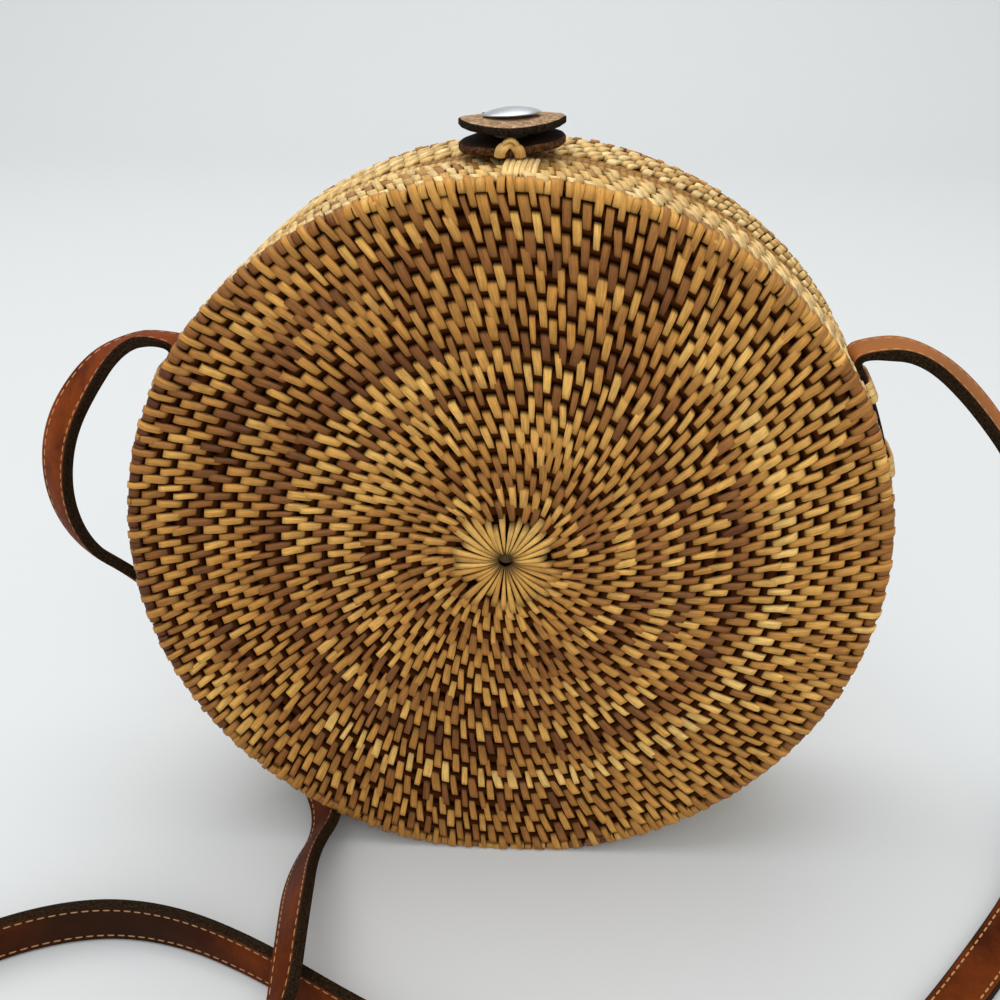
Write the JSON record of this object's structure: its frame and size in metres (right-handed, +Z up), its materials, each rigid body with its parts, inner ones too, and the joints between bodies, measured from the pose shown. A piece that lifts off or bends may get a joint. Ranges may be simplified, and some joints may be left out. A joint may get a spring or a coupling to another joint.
{
  "type": "round woven shoulder bag",
  "caption": "Round woven rattan shoulder bag whose halves hinge at the bottom, with a leather snap clasp on top and a long stitched leather strap held in rattan loops.",
  "frame": {"origin": "middle of the bottom flat on the seam between the halves, on the surface that the bag stands on, without the strap", "axes": "+Z up, +Y from the front face to the back face along the bag's round axis, +X to the right as seen from the front"},
  "size_m": [0.3253, 0.1961, 0.2086],
  "materials": {
    "rattan": "satin, woven straw",
    "lining": "matte plain weave",
    "strap_leather": "satin, stitched",
    "clasp_leather": "matte",
    "snap_metal": "polished"
  },
  "bodies": {
    "front_half": {"front_face": "rattan", "front_rosette": "rattan", "front_corner_coil": "rattan", "front_band": "rattan", "front_lip_coil": "rattan", "front_lining": "lining", "hinge_ties": "rattan", "strap_loops_right": "rattan", "strap_loops_left": "rattan", "strap_end_right": "strap_leather", "strap_end_left": "strap_leather", "strap": "strap_leather", "clasp_anchor": "rattan", "clasp_base": "clasp_leather", "base_ties": "rattan", "snap_stud": "snap_metal", "stud_rivet": "snap_metal"},
    "back_half": {"back_face": "rattan", "back_rosette": "rattan", "back_corner_coil": "rattan", "back_band": "rattan", "back_lip_coil": "rattan", "back_lining": "lining", "flap_rings": "rattan"},
    "clasp_flap": {"clasp_disc": "clasp_leather", "snap_socket": "snap_metal", "snap_cap": "snap_metal"}
  },
  "joints": [
    {"name": "back_open", "type": "hinge", "parent": "front_half", "child": "back_half", "pos_m": [0, 0.0019, 0.0032], "axis": [-1, 0, 0], "range_deg": [0, 20]},
    {"name": "clasp_lift", "type": "hinge", "parent": "back_half", "child": "clasp_flap", "pos_m": [0, 0.0175, 0.20018], "axis": [-1, 0, 0], "range_deg": [0, 120]}
  ],
  "couplings": [
    {"joint": "clasp_lift", "follows": "back_open", "ratio": 6}
  ]
}
